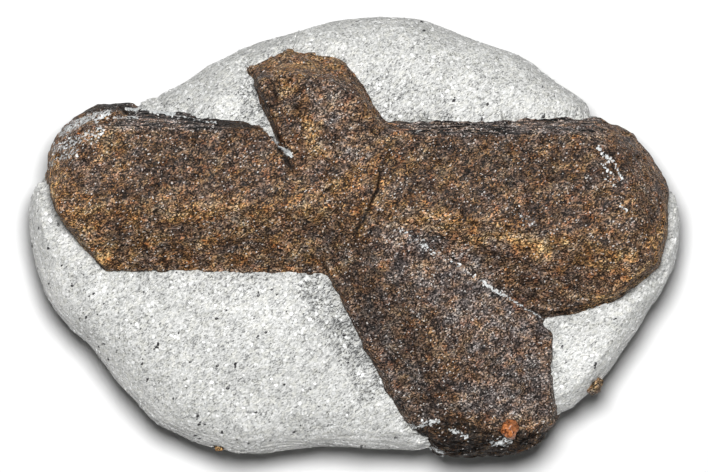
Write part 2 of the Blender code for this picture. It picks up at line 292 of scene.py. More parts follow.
# Soft patches with ragged edges, from 0 to 1
def makePatchGroup():
    group, given, result = newGroup(
        "patches",
        [("Coordinates", "NodeSocketVector", None), ("Patches Per Metre", "NodeSocketFloat", 200.0),
         ("Coverage", "NodeSocketFloat", 0.5), ("Softness", "NodeSocketFloat", 0.2)],
        [("Mask", "NodeSocketFloat")],
    )
    cloud = addNode(group, "ShaderNodeTexNoise", {
        "Vector": given["Coordinates"], "Scale": given["Patches Per Metre"], "Detail": 4.0, "Roughness": 0.6,
    })
    middle = addMath(group, "SUBTRACT", 1.0, given["Coverage"])
    low = addMath(group, "SUBTRACT", middle, given["Softness"])
    high = addMath(group, "ADD", middle, given["Softness"])
    mask = addMapRange(group, cloud.outputs["Fac"], low, high)
    group.links.new(mask, result["Mask"])
    return group


grainGroup = makeGrainGroup()
patchGroup = makePatchGroup()


def addGrains(tree, place, size, raggedness=0.4):
    inputs = {"Coordinates": place, "Grains Per Metre": 1 / (size * mm), "Raggedness": raggedness}
    return addNode(tree, "ShaderNodeGroup", inputs, node_tree=grainGroup)


def addPatches(tree, place, size, coverage, softness):
    inputs = {
        "Coordinates": place, "Patches Per Metre": 1 / (size * mm),
        "Coverage": coverage, "Softness": softness,
    }
    return addNode(tree, "ShaderNodeGroup", inputs, node_tree=patchGroup).outputs["Mask"]


def maskOf(tree, name):
    return addNode(tree, "ShaderNodeAttribute", attribute_name=name).outputs["Fac"]


# Coordinates drawn out along the grain of the stone, for what is laid on them
def addLineation(tree, place, look):
    turn = (0, 0, math.radians(look["lineation"]))
    inputs = {"Vector": place, "Rotation": turn, "Scale": look["stretch"]}
    return addNode(tree, "ShaderNodeMapping", inputs, vector_type="TEXTURE").outputs[0]


def newMaterial(name):
    made = bpy.data.materials.new(name)
    made.use_nodes = True
    tree = made.node_tree
    return made, tree, tree.nodes["Principled BSDF"], addNode(tree, "ShaderNodeTexCoord").outputs["Object"]


# Gives a shader its colour, a roughness that goes with a tone, and a bump from a height
def finishLook(tree, shader, look, colour, tone, height):
    tree.links.new(colour, shader.inputs["Base Color"])
    tree.links.new(addMapRange(tree, tone, 0.0, 1.0, *look["roughness"]), shader.inputs["Roughness"])
    strength, distance = look["bump"]
    bump = addNode(tree, "ShaderNodeBump", {
        "Strength": strength, "Distance": distance * mm, "Height": height,
    })
    tree.links.new(bump.outputs["Normal"], shader.inputs["Normal"])


# staurolite: dark brown, full of fine grains of other minerals

staurolite = {
    "fineGrain": 0.165,   # mm
    "coarseGrain": 0.5,
    "coarseRaggedness": 0.9,
    # patches of colour or brightness: size in mm, how much they cover, how soft they are
    "flecks": (0.36, 0.5, 0.22),
    "blotch": (1.3, 0.5, 0.22),
    "rust": (1.3, 0.36, 0.10),
    "blend": (1.9, 0.5, 0.2),
    "patch": (2.5, 0.5, 0.24),
    "cloud": (6.0, 0.5, 0.2),
    "lineation": 24.0,   # degrees from the longer crystal
    "stretch": (1.22, 0.92, 1.0),
    "elsewhere": (0.31, 0.17, 0.05),   # moves a second set of patches off the first
    # colours from the dark grains to the pale ones, in warm places and in cool ones
    "warm": [
        (0.00, (0.017, 0.008, 0.004)), (0.28, (0.062, 0.030, 0.013)), (0.48, (0.135, 0.067, 0.026)),
        (0.66, (0.215, 0.125, 0.050)), (0.84, (0.29, 0.200, 0.095)), (1.00, (0.38, 0.29, 0.17)),
    ],
    "cool": [
        (0.00, (0.011, 0.009, 0.009)), (0.30, (0.047, 0.038, 0.036)), (0.60, (0.115, 0.098, 0.090)),
        (0.85, (0.200, 0.183, 0.168)), (1.00, (0.29, 0.275, 0.26)),
    ],
    "hueShares": (0.48, 0.22, 0.20, 0.18),   # patches, coarse grains, fine grains, golden places
    "coolShares": (0.60, -0.40, 0.4, 0.6),   # grey and golden places, coarse grains, stripes
    "coolRange": (0.18, 1.45),
    "rusty": (0.22, 0.068, 0.015, 1),
    "rustStrength": 0.65,
    "film": (0.60, 0.62, 0.62, 1),
    # colour of the painted glints
    "paintedGlint": (0.52, 0.50, 0.48, 1),
    # brightness: how much a grain's own tone counts, and the factors without and with each mask
    "contrast": 2.4,
    "grainLight": (0.07, 3.3),
    "cloudLight": (0.82, 1.15),
    "blotchLight": (0.64, 1.30),
    # the dark mask is partly dark stone and partly painted shade in the crack, beside the mica tongue and in
    # the pits
    "darkLight": (1.0, 0.14),
    # painted light: the brightness factor where faces are made paler
    "paintedLightGain": (1.0, 1.45),
    "streaksPerMetre": 2600.0,
    "streakStretch": (0.07, 1, 1),
    "streakLight": (0.40, 0.60, -1.1, 1.1),   # noise from and to, brightness from and to
    "glintFrom": 0.980,   # only grains with a tone over this glint
    "glintShares": (-0.03, 0.02),   # more of them where it is cool, fewer where it is dark
    "filmFlecks": 0.62,
    "filmRange": (0.84, 0.94),
    "filmGrain": (0.0, 0.4, 0.45, 1.0),   # tone from and to, strength from and to
    "heightShares": (-0.6, 1.2),   # edges of the fine grains, coarse grains
    "roughness": (0.45, 0.85),
    "bump": (0.7, 0.10),
    "shine": 0.2,
}


def makeStaurolite():
    look = staurolite
    made, tree, shader, place = newMaterial("staurolite")
    lined = addLineation(tree, place, look)
    elsewhere = addNode(tree, "ShaderNodeMapping", {
        "Vector": lined, "Location": look["elsewhere"],
    }).outputs[0]
    fine = addGrains(tree, lined, look["fineGrain"])
    coarse = addGrains(tree, lined, look["coarseGrain"], look["coarseRaggedness"])
    fineTone, fineSecond = fine.outputs["Tone"], fine.outputs["Second Tone"]
    coarseTone, coarseSecond = coarse.outputs["Tone"], coarse.outputs["Second Tone"]
    patch, flecks = (addPatches(tree, lined, *look[name]) for name in ("patch", "flecks"))
    blend, cloud, blotch, rust = (
        addPatches(tree, elsewhere, *look[name]) for name in ("blend", "cloud", "blotch", "rust")
    )
    golden, grey, paintedLight = (maskOf(tree, name) for name in ("golden", "grey", "paintedLight"))
    dark, film, stripe = (maskOf(tree, name) for name in ("dark", "film", "stripe"))
    # which mineral a grain is: large patches first, then each grain's own share
    hue = addSum(tree, 0.0, (patch, coarseTone, fineSecond, golden), look["hueShares"])
    warm = addRamp(tree, hue, look["warm"])
    warm = addMix(tree, addMath(tree, "MULTIPLY", rust, look["rustStrength"]), warm, look["rusty"])
    cool = addRamp(tree, hue, look["cool"])
    coolness = addSum(tree, blend, (grey, golden, coarseSecond, stripe), look["coolShares"])
    colour = addMix(tree, addMapRange(tree, coolness, *look["coolRange"]), warm, cool)
    # how bright it is: dark gaps between the grains, clouds, darker places that are partly dark stone and
    # partly painted shade, and painted light
    light = addMath(tree, "POWER", fineTone, look["contrast"])
    light = addMapRange(tree, light, 0.0, 1.0, *look["grainLight"])
    light = addShading(tree, light, cloud, look["cloudLight"])
    light = addShading(tree, light, blotch, look["blotchLight"])
    light = addShading(tree, light, dark, look["darkLight"])
    light = addShading(tree, light, paintedLight, look["paintedLightGain"])
    # black and pale streaks along the striated side faces
    drawnOut = addNode(tree, "ShaderNodeMapping", {
        "Vector": place, "Scale": look["streakStretch"],
    }).outputs[0]
    streaks = addNode(tree, "ShaderNodeTexNoise", {
        "Vector": drawnOut, "Scale": look["streaksPerMetre"], "Detail": 3.0,
    })
    lines = addMapRange(tree, streaks.outputs["Fac"], *look["streakLight"])
    light = addMath(tree, "MULTIPLY_ADD", addMath(tree, "MULTIPLY", stripe, light), lines, light)
    colour = addScale(tree, colour, light)
    # painted glints: grains painted pale as highlights, most of them in the cool patches
    threshold = addSum(tree, look["glintFrom"], (coolness, dark), look["glintShares"])
    paintedGlint = addMath(tree, "MULTIPLY", addMath(tree, "GREATER_THAN", fineTone, threshold), fineSecond)
    colour = addMix(tree, paintedGlint, colour, look["paintedGlint"])
    # white mica lies on it in ragged films
    cover = addMath(tree, "MULTIPLY_ADD", flecks, look["filmFlecks"], film)
    cover = addMapRange(tree, cover, *look["filmRange"])
    cover = addMath(tree, "MULTIPLY", cover, addMapRange(tree, fineSecond, *look["filmGrain"]))
    colour = addMix(tree, cover, colour, look["film"])
    height = addSum(tree, fineTone, (fine.outputs["Roundness"], coarseTone), look["heightShares"])
    finishLook(tree, shader, look, colour, fineSecond, height)
    shader.inputs["Specular IOR Level"].default_value = look["shine"]
    return made


# schist: pale grey mica and quartz in fine grains

schist = {
    "fineGrain": 0.16,   # mm
    "coarseGrain": 0.42,
    "coarseRaggedness": 0.9,
    "patch": (3.0, 0.5, 0.2),
    "lineation": 38.0,
    "stretch": (1.45, 0.85, 0.8),
    "tones": [
        (0.00, (0.055, 0.056, 0.055)), (0.16, (0.205, 0.207, 0.202)), (0.36, (0.385, 0.388, 0.378)),
        (0.56, (0.505, 0.508, 0.492)), (0.78, (0.615, 0.615, 0.600)), (1.00, (0.84, 0.835, 0.82)),
    ],
    # fine grains, coarse grains, patches, flanks made paler as painted light, seams and painted shade beside
    # the crystals
    "toneShares": (0.58, 0.26, 0.13, 0.30, -0.07, -0.34),
    "fleck": (0.05, 0.05, 0.05, 1),
    "fleckFrom": 0.984,   # only grains with a second tone over this are dark flecks
    "fleckStrength": 0.6,
    "tint": (1.0, 0.985, 0.90, 1),
    "tintFrom": 0.7,
    "tintStrength": 0.35,
    "heightShares": (-0.6,),   # edges of the fine grains
    "roughness": (0.40, 0.85),
    "bump": (0.5, 0.08),
}


def makeSchist():
    look = schist
    made, tree, shader, place = newMaterial("schist")
    lined = addLineation(tree, place, look)
    fine = addGrains(tree, lined, look["fineGrain"])
    coarse = addGrains(tree, lined, look["coarseGrain"], look["coarseRaggedness"])
    fineTone, fineSecond = fine.outputs["Tone"], fine.outputs["Second Tone"]
    coarseTone, coarseSecond = coarse.outputs["Tone"], coarse.outputs["Second Tone"]
    patch = addPatches(tree, lined, *look["patch"])
    seam, flank, paintedShade = (maskOf(tree, name) for name in ("seam", "flank", "paintedShade"))
    # the painted shade share darkens the schist's tone beside the crystals
    tone = addSum(tree, 0.0, (fineTone, coarseTone, patch, flank, seam, paintedShade), look["toneShares"])
    colour = addRamp(tree, tone, look["tones"])
    fleck = addMath(tree, "GREATER_THAN", fineSecond, look["fleckFrom"])
    colour = addMix(tree, addMath(tree, "MULTIPLY", fleck, look["fleckStrength"]), colour, look["fleck"])
    tinted = addMath(tree, "GREATER_THAN", coarseSecond, look["tintFrom"])
    tinted = addMath(tree, "MULTIPLY", tinted, look["tintStrength"])
    colour = addMix(tree, tinted, colour, look["tint"], "MULTIPLY")
    height = addSum(tree, fineTone, (fine.outputs["Roundness"],), look["heightShares"])
    finishLook(tree, shader, look, colour, fineSecond, height)
    return made


# garnet, black specks and mica flakes: two colours, and the grain size in mm

garnet = {
    "low": (0.07, 0.018, 0.006), "high": (0.52, 0.185, 0.062), "grain": 0.26,
    "roughness": (0.16, 0.45), "bump": (0.5, 0.10),
}
speck = {
    "low": (0.006, 0.006, 0.007), "high": (0.060, 0.058, 0.060), "grain": 0.2,
    "roughness": (0.25, 0.6), "bump": (0.5, 0.05),
}
mica = {
    "low": (0.42, 0.43, 0.42), "high": (0.74, 0.74, 0.73), "grain": 0.35,
    "roughness": (0.18, 0.5), "bump": (0.5, 0.04),
}


def makeGrainy(name, look):
    made, tree, shader, place = newMaterial(name)
    grains = addGrains(tree, place, look["grain"])
    colour = addMix(tree, grains.outputs["Tone"], (*look["low"], 1), (*look["high"], 1))
    finishLook(tree, shader, look, colour, grains.outputs["Second Tone"], grains.outputs["Tone"])
    return made


stauroliteMaterial = makeStaurolite()
schistMaterial = makeSchist()
garnetMaterial = makeGrainy("garnet", garnet)
speckMaterial = makeGrainy("black mica", speck)
micaMaterial = makeGrainy("white mica", mica)
print("materials made")


# the small crystals and the garnet

smallPieces = {
    "rim_crystal": {"piece": "rimCrystal", "material": stauroliteMaterial, "slot": "staurolite"},
    "front_crystal": {"piece": "frontCrystal", "material": stauroliteMaterial, "slot": "staurolite"},
    "garnet_grain": {"piece": "garnetGrain", "material": garnetMaterial, "slot": "garnet"},
}

smallSkin = {
    "voxel": 0.10,   # mm
    "rounding": 5,
    "relief": [(0.9, 0.20), (0.35, 0.07)],   # lump size and height
    "shrink": 0.05,
    "masks": {"golden": 0.6, "grey": 0.0, "paintedLight": 0.0, "dark": 0.1, "film": 0.0, "stripe": 0.0},
}


def makeSmallPiece(nodeName, spec):
    piece = skinOf(nodeName, spec["piece"], smallSkin["voxel"] * mm, smallSkin["rounding"])
    mesh = piece.data
    points = pointsOf(mesh)
    rise = reliefOf(points, smallSkin["relief"]) - smallSkin["shrink"]
    movePoints(mesh, points + normalsOf(mesh) * rise[:, None] * mm)
    for name, value in smallSkin["masks"].items():
        addMask(mesh, name, np.full(len(points), value))
    mesh.materials.append(spec["material"])
    return piece


small = {nodeName: makeSmallPiece(nodeName, spec) for nodeName, spec in smallPieces.items()}
print("small crystals made")


# the crossed crystals

crystals = {
    "voxel": 0.33,
    "rounding": 3,
    "relief": [(3.4, 0.12), (1.5, 0.11), (0.75, 0.09)],   # lump size and height
    "pitSize": 1.15,
    "pitDepth": 0.26,
    "pitNoise": (0.12, 0.5),   # where in the noise a pit begins and is full
    # fine lines along the side face towards +Y, but not beside the upper arm or at the ends
    "stripeSpacing": 0.16,
    "stripeDepth": 0.07,
    "stripeWaviness": 3.0,
    "waveSize": 2.0,
    "waveStretch": (0.12, 1, 1),
    "stripeFacing": (0.5, 0.9),
    "upperArm": -6.0,
    "stripeStart": (10.0, 14.0),   # mm from the upper arm
    "stripeEnd": (36.0, 32.0),   # mm from the middle
    # what counts as a side, by how much of its normal points up
    "sideFacing": (0.85, 0.45),
    "underFacing": (-0.2, 0.1),
    "bulge": 0.34,   # how far the sides grow out into the clearance of the socket
    # where the sides go further out, or back in: a line from above, its width and how far
    "swells": [
        ([(-12.8, 20.4), (-8.0, 11.4)], 1.8, 0.50), ([(-1.4, 22.0), (4.2, 14.4)], 1.8, 0.22),
        ([(3.0, -15.0), (9.4, -26.0)], 1.8, 0.48), ([(-3.0, -7.4), (2.6, -14.4)], 1.6, 0.28),
        ([(27.0, -24.6), (26.6, -14.2)], 1.6, 0.46), ([(12.0, -29.6), (26.0, -28.4)], 2.2, 0.35),
        ([(-13.2, 14.8), (-9.4, 12.2)], 1.2, 0.70), ([(36.0, -9.0), (41.6, -4.0)], 1.2, 0.16),
        ([(-14.8, 22.0), (-13.6, 24.0), (-9.6, 25.4)], 1.8, 0.50), ([(-5.4, 25.0), (-2.0, 23.4)], 1.6, 0.28),
        ([(-29.0, 16.2), (-22.4, 15.8)], 1.4, 0.30), ([(40.0, 13.0), (43.4, 8.0)], 2.0, -0.40),
        ([(-43.4, 10.0), (-42.4, 3.4), (-40.5, -1.5), (-36.0, -5.0)], 2.2, -0.55),
        ([(-33.0, -5.3), (-22.0, -5.4)], 1.6, -0.25), ([(31.0, 16.4), (35.0, 16.0)], 1.8, -0.50),
        ([(-38.0, 18.0), (-31.0, 18.4)], 2.0, -0.50), ([(5.4, -20.8), (8.6, -25.2)], 1.5, 0.36),
    ],
    # lines from above in mm, how far each mask reaches from them, and its strength
    "golden": [
        ([(-38.5, 3.8), (-14.0, 3.2), (-1.3, 3.6)], 2.5, 0.9),
        ([(6.0, 3.2), (20.0, 0.4), (39.5, -4.0)], 2.8, 1.0),
        ([(-9.9, 22.2), (-9.5, 19.8)], 1.3, 1.2), ([(-5.4, 24.6), (-4.0, 23.8)], 1.4, 1.2),
        ([(-6.9, 16.6), (-5.2, 11.4)], 1.4, 1.1), ([(-10.4, 23.2), (-3.4, 23.4)], 2.6, 0.9),
        ([(7.0, -9.0), (12.5, -17.0)], 1.6, 0.3), ([(-7.0, 5.4), (0.0, 6.4)], 3.4, 0.7),
        ([(33.0, -9.6), (41.6, -4.6), (43.6, 4.0)], 2.4, 1.1), ([(5.0, 10.0), (13.0, 9.0)], 3.2, 0.5),
        ([(-42.0, 9.0), (-40.0, 3.0), (-35.5, -3.0)], 4.0, 1.0), ([(-36.0, 13.0), (-31.0, 13.4)], 2.0, 0.7),
        ([(1.6, 16.0), (3.4, 8.0), (1.0, 2.0), (-1.0, 0.0)], 2.4, 0.6),
        ([(-34.0, -2.0), (-4.0, -2.0)], 4.2, 0.5),
    ],
    "grey": [
        ([(8.0, -3.4), (17.0, -10.0), (24.0, -19.0)], 8.0, 1.0), ([(-3.4, 18.6), (1.0, 12.0)], 3.8, 0.6),
        ([(15.0, -10.0), (26.0, -12.6)], 3.0, 1.4), ([(16.0, -22.0), (25.0, -23.0)], 3.4, 1.2),
        ([(2.4, -10.0), (9.6, -23.0)], 4.5, 0.7), ([(-4.0, -1.0), (1.0, -4.0)], 2.6, 0.5),
    ],
    # painted light: places on the crystals made brighter
    "paintedLight": [
        ([(8.0, -1.6), (17.6, -9.0), (25.5, -17.0)], 6.4, 1.1), ([(17.0, -21.0), (24.0, -24.0)], 4.0, 0.8),
        ([(-42.8, 9.4), (-40.0, 2.0), (-36.6, -3.0)], 4.4, 1.4), ([(-4.6, 20.6), (0.6, 12.0)], 3.8, 0.6),
        ([(-6.6, 15.6), (-4.8, 10.8)], 1.6, 0.6), ([(-1.0, 8.0), (1.6, 4.0)], 1.6, 0.6),
        ([(37.0, -5.0), (42.5, -1.0)], 2.4, 0.8), ([(22.0, 0.0), (28.0, -5.0)], 2.6, 0.7),
        ([(-25.0, 3.4), (-14.0, 3.2)], 1.8, 0.7), ([(-36.0, 10.0), (-31.5, 7.6)], 2.6, 0.7),
        ([(-38.6, 4.6), (-34.4, 1.2)], 2.2, 0.8), ([(16.4, -12.0), (16.4, -20.6)], 2.6, 0.7),
    ],
    # dark places on the crystals; the crack between the arms and the line beside the mica tongue are painted
    # shade
    "dark": [
        ([(3.9, 10.0), (3.1, 6.4), (1.6, 3.0), (0.0, 0.2)], 0.42, 1.2),
        ([(-36.8, 17.6), (-33.5, 18.2), (-31.2, 17.9)], 1.3, 1.0),
        ([(-31.0, 16.9), (-20.6, 15.5), (-14.2, 14.9)], 1.0, 1.0),
        ([(-10.8, 12.3), (-9.7, 10.8), (-8.4, 8.9), (-7.2, 7.9)], 0.55, 1.0),
        ([(-2.0, -4.0), (4.0, -10.0), (9.4, -22.0)], 6.4, 0.34), ([(6.0, 9.8), (36.0, 9.8)], 3.4, 0.34),
        ([(9.0, 5.6), (17.0, 4.6)], 3.0, 0.28), ([(-29.6, 9.0), (-24.0, 10.4)], 2.4, 0.3),
        ([(-32.0, 13.0), (-18.0, 11.6)], 4.4, 0.3), ([(-33.0, -0.6), (-22.0, -0.8)], 2.4, 0.3),
        ([(-14.0, 24.0), (-12.0, 19.0)], 2.6, 0.45), ([(5.4, -21.4), (7.4, -24.0)], 1.4, 0.6),
        ([(-31.6, 4.8), (-27.6, 4.6)], 1.6, 0.4), ([(-32.0, -0.2), (-28.0, -0.2)], 2.0, 0.3),
        ([(27.0, 13.4), (32.0, 13.0)], 1.6, 0.4),
        ([(-27.2, 5.6), (-25.8, -4.3)], 0.35, 0.5), ([(-11.8, 3.2), (-11.6, -4.6)], 0.3, 0.6),
    ],
    "film": [
        ([(5.6, 1.4), (12.0, -2.6), (18.6, -6.9), (26.4, -11.6)], 0.42, 0.52),
        ([(7.0, 0.6), (9.0, -0.8), (11.0, -2.3)], 1.6, 0.42), ([(17.6, -6.3), (20.6, -8.2)], 0.6, 0.66),
        ([(21.5, -8.8), (25.5, -11.0)], 0.5, 0.56),
        ([(-40.0, 14.0), (-36.5, 16.0), (-33.8, 16.8)], 1.3, 0.60),
        ([(-40.8, 11.8), (-37.2, 13.3), (-34.6, 14.3)], 1.3, 0.54),
        ([(-41.4, 9.8), (-37.9, 11.7)], 1.0, 0.50),
        ([(-31.0, 17.5), (-28.0, 16.7), (-24.6, 16.2)], 0.5, 0.8), ([(-34.0, 16.3), (-29.6, 15.9)], 0.4, 0.6),
        ([(-25.0, 15.9), (-19.0, 15.2)], 0.3, 0.55), ([(33.4, 12.2), (34.8, 10.4)], 0.6, 0.62),
        ([(34.7, 11.2), (35.7, 9.8)], 0.5, 0.62), ([(33.8, 9.9), (35.2, 8.7)], 0.45, 0.62),
        ([(34.3, 7.9), (35.7, 6.8)], 0.45, 0.6), ([(36.0, 9.2), (36.7, 7.6)], 0.5, 0.6),
        ([(36.3, 4.4), (37.3, 3.4)], 0.5, 0.55), ([(22.0, 3.4), (24.4, 1.6)], 1.2, 0.42),
        ([(8.2, -25.7), (11.4, -25.6)], 0.8, 0.60),
        ([(13.2, -26.6), (15.6, -27.6)], 0.7, 0.6), ([(10.2, -28.6), (12.4, -29.2)], 0.6, 0.6),
        ([(19.0, -28.2), (21.4, -27.8)], 0.8, 0.62),
        ([(-14.0, 17.4), (-13.2, 15.2), (-11.6, 14.0)], 1.3, 1.0),
        ([(-11.8, 14.3), (-10.2, 12.9)], 1.5, 0.9), ([(-10.6, 13.4), (-8.6, 11.0)], 1.0, 0.95),
    ],
    # where the top face of the lower arm ends, and a dark splintered end begins
    "endLine": [(5.5, -23.8), (8.2, -24.9), (14.3, -24.9), (19.9, -26.9), (27.5, -26.2)],
    "pastEndLine": (-0.2, 0.7),
    "rightOfEndLine": (5.5, 6.5),
    "splinterSize": 0.8,
    "splinterStretch": (0.3, 1, 1),
    "splinterDepth": 0.7,
    "garnetReach": 0.6,
    "garnetSink": 0.1,
    # blotches in the masks: the share that is always there and the one that varies
    "blotchSize": 1.6,
    "blotches": {"golden": (0.75, 0.6), "grey": (0.8, 0.5), "dark": (0.9, 0.5)},
    # painted light on the upright sides and on the striped faces
    "paintedLightOnSides": 0.6,
    "paintedLightOnStripes": 0.5,
    # painted shade: darkening in the pits
    "paintedShadeInPits": 0.4,
    "darkEnd": 0.85,
    "grainyHeight": (15.0, 18.0),
    "grainyFacing": (-0.1, 0.3),
}


def makeCrystals():
    look = crystals
    piece = skinOf("staurolite_twin", "crossedCrystals", look["voxel"] * mm, look["rounding"])
    mesh = piece.data
    points, normals = pointsOf(mesh), normalsOf(mesh)
    across, height = points[:, 0], points[:, 2]
    rise = reliefOf(points, look["relief"])
    pits = smoothStep(*look["pitNoise"], noiseAt(points, look["pitSize"] * mm, shift=7.3))
    rise -= look["pitDepth"] * pits
    stripes = smoothStep(*look["stripeFacing"], normals[:, 1])
    stripes *= stepOver(*look["stripeStart"], np.abs(across - look["upperArm"] * mm))
    stripes *= stepOver(*look["stripeEnd"], np.abs(across))
    waves = look["stripeWaviness"] * noiseAt(points * look["waveStretch"], look["waveSize"] * mm)
    rise += look["stripeDepth"] * stripes * np.sin(height / (look["stripeSpacing"] * mm) + waves)
    upright = smoothStep(*look["sideFacing"], normals[:, 2]) * smoothStep(*look["underFacing"], normals[:, 2])
    rise += look["bulge"] * upright
    for line, width, swell in look["swells"]:
        rise += swell * upright * nearLine(points, line, width)
    endX, endY = zip(*look["endLine"])
    past = np.interp(across / mm, endX, endY) * mm - points[:, 1]
    end = stepOver(*look["pastEndLine"], past) * stepOver(*look["rightOfEndLine"], across)
    splinters = np.abs(noiseAt(points * look["splinterStretch"], look["splinterSize"] * mm))
    rise -= look["splinterDepth"] * end * splinters
    moved = points + normals * rise[:, None] * mm
    garnetTree = treeOf(small["garnet_grain"])
    sink = np.full(len(points), look["garnetSink"] * mm)
    moved, _ = closeGap(moved, normals, garnetTree, look["garnetReach"] * mm, sink)
    movePoints(mesh, moved)
    masks = {name: nearLines(points, look[name]) for name in ("golden", "grey", "paintedLight", "dark", "film")}
    blotch = noiseAt(points, look["blotchSize"] * mm, shift=3.1)
    for name, (always, varying) in look["blotches"].items():
        masks[name] *= always + varying * blotch
    # painted light on the upright sides and the striped faces
    paintedLightOnSides = look["paintedLightOnSides"] * upright * (1 - end)
    masks["paintedLight"] = np.max([masks["paintedLight"], paintedLightOnSides, look["paintedLightOnStripes"] * stripes], axis=0)
    # painted shade in the pits, and the dark splintered end
    masks["dark"] = np.max([masks["dark"], look["paintedShadeInPits"] * pits, look["darkEnd"] * end], axis=0)
    masks["stripe"] = stripes
    facingUp = smoothStep(*look["grainyFacing"], normals[:, 2])
    masks["grainy"] = stepOver(*look["grainyHeight"], height) * facingUp
    for name, values in masks.items():
        addMask(mesh, name, values)
    mesh.materials.append(stauroliteMaterial)
    return piece


crossedCrystals = makeCrystals()
print("crossed crystals made")


# the schist around them

matrix = {
    "voxel": 0.42,
    "rounding": 4,
    "relief": [(6.0, 0.22), (2.4, 0.16), (1.1, 0.15)],   # lump size and height
    # ledges where its layers come out: how they dip along X and Y, and how they are stepped
    "ledgeSpacing": 0.95,
    "ledgeHeight": 0.24,
    "ledgeWaviness": 0.9,
    "waveSize": 3.0,
    "waveStretch": (0.4, 0.4, 1),
    "dip": (0.10, -0.06),
    "stepUp": (0.0, 0.7),
    "stepDown": (0.75, 1.0),
    "stepMiddle": 0.4,
    "ledgeShares": (0.5, 0.5, 1.3),   # everywhere, on the flanks and on the front
    # the lip onto the crystals: how far it reaches and goes in, and where it stays out
    "reach": 0.95,
    "sink": 0.12,
    "lipSize": 2.4,
    "lipNoise": (0.1, 0.5),
    "lipRelief": 0.22,
    "smallReach": 0.5,
    "smallSink": 0.1,
    # where each place begins and is full, in mm
    "free": (1.1, 2.2),   # away from the crystals, where the relief is
    "lying": (0.3, 2.0),   # up from the flat back
    "seam": (1.7, 0.9),   # away from the crystals
    "flank": (18.0, 13.0),   # down from the rim
    "flankSide": (16.0, -4.0),   # along -Y
    "front": (-20.0, -25.0),
    "frontLeft": (14.0, 4.0),
    "exposed": (1.0, 1.3),   # away from the crystals, where flakes and specks are
    "exposedHeight": (1.0, 3.0),
    "lower": (12.0, -8.0),
    "left": (12.0, -6.0),
    "speckShares": (0.25, 0.75),   # everywhere and at the lower left
    "shadeSize": 1.4,
    "shadeBlotches": (0.9, 0.5),   # the share that is always there and the one that varies
    # painted shade: greyer places where shade falls, most of them beside the crystals: lines from above in
    # mm, how far they reach, strength
    "paintedShade": [
        ([(-6.0, -8.0), (-0.5, -15.0), (2.0, -20.5)], 3.2, 0.75), ([(-3.0, -7.0), (4.6, -21.0)], 2.2, 0.6),
        ([(2.6, 17.6), (10.0, 16.6)], 6.0, 0.42), ([(-15.0, 20.0), (-13.2, 15.5)], 2.2, 0.70),
        ([(-27.0, -5.4), (-5.0, -5.8)], 4.6, 0.26), ([(27.4, -13.0), (27.6, -22.0)], 2.6, 0.32),
        ([(29.0, -11.2), (39.0, -6.6)], 2.4, 0.30), ([(-8.0, -26.4), (-3.0, -26.0)], 3.0, 0.26),
    ],
}


def makeSchistSkin():
    look = matrix
    piece = skinOf("schist", "schistSkin", look["voxel"] * mm, look["rounding"])
    mesh = piece.data
    points, normals = pointsOf(mesh), normalsOf(mesh)
    across, along, height = points.T
    lip = smoothStep(*look["lipNoise"], noiseAt(points, look["lipSize"] * mm, shift=5.0))
    sink = (look["sink"] - look["lipRelief"] * lip) * mm
    closed, away = closeGap(points, normals, treeOf(crossedCrystals), look["reach"] * mm, sink)
    smallSink = np.full(len(points), look["smallSink"] * mm)
    for nodeName in ("rim_crystal", "front_crystal"):
        neighbour = treeOf(small[nodeName])
        closed, nearSmall = closeGap(closed, normals, neighbour, look["smallReach"] * mm, smallSink)
        away = np.minimum(away, nearSmall)
    free = stepOver(*look["free"], away)
    lying = stepOver(*look["lying"], height)
    flank = stepOver(*look["flank"], height)
    front = stepOver(*look["front"], along) * stepOver(*look["frontLeft"], across)
    dipX, dipY = look["dip"]
    layer = (height + dipX * across + dipY * along) / (look["ledgeSpacing"] * mm)
    layer += look["ledgeWaviness"] * noiseAt(points * look["waveStretch"], look["waveSize"] * mm)
    step = layer - np.floor(layer)
    ledge = smoothStep(*look["stepUp"], step) - smoothStep(*look["stepDown"], step) - look["stepMiddle"]
    everywhere, onFlank, onFront = look["ledgeShares"]
    share = everywhere + onFlank * flank + onFront * front
    rise = reliefOf(points, look["relief"])
    rise += look["ledgeHeight"] * ledge * (1 - np.abs(normals[:, 2])) * share
    movePoints(mesh, closed + normals * (rise * free * lying)[:, None] * mm)
    exposed = stepOver(*look["exposed"], away) * stepOver(*look["exposedHeight"], height)
    lowerLeft = stepOver(*look["lower"], along) * stepOver(*look["left"], across)
    always, varying = look["shadeBlotches"]
    blotch = always + varying * noiseAt(points, look["shadeSize"] * mm, shift=2.2)
    everywhere, atLowerLeft = look["speckShares"]
    addMask(mesh, "seam", stepOver(*look["seam"], away))
    # painted light: the flanks below the rim are made paler, most of all towards -Y
    addMask(mesh, "flank", flank * stepOver(*look["flankSide"], along))
    # painted shade on the schist, mostly beside the crystals
    addMask(mesh, "paintedShade", nearLines(points, look["paintedShade"]) * blotch)
    addMask(mesh, "exposed", exposed)
    addMask(mesh, "specks", exposed * (everywhere + atLowerLeft * lowerLeft))
    mesh.materials.append(schistMaterial)
    return piece


schistSkin = makeSchistSkin()
print("schist made")


# grains and flakes scattered over the skins

# A cluster is three grains: how each is moved and how large it is
clusterGrains = [((0, 0, 0), 1.0), ((0.42, 0.36, -0.1), 0.55), ((-0.50, -0.30, -0.1), 0.62)]


# The shape that is scattered, about 1 m across: a flake, a grain or a cluster
def addShape(tree, shape):
    if shape == "flake":
        return addNode(tree, "GeometryNodeMeshCylinder", {
            "Vertices": 6, "Radius": 0.5, "Depth": 1.0,
        }).outputs["Mesh"]
    grain = addNode(tree, "GeometryNodeMeshIcoSphere", {"Radius": 0.5, "Subdivisions": 1}).outputs["Mesh"]
    if shape == "grain":
        return grain
    joined = tree.nodes.new("GeometryNodeJoinGeometry")
    for shift, share in clusterGrains:
        part = addNode(tree, "GeometryNodeTransform", {
            "Geometry": grain, "Translation": shift, "Scale": (share, share, share),
        })
        tree.links.new(part.outputs[0], joined.inputs[0])
    return joined.outputs[0]


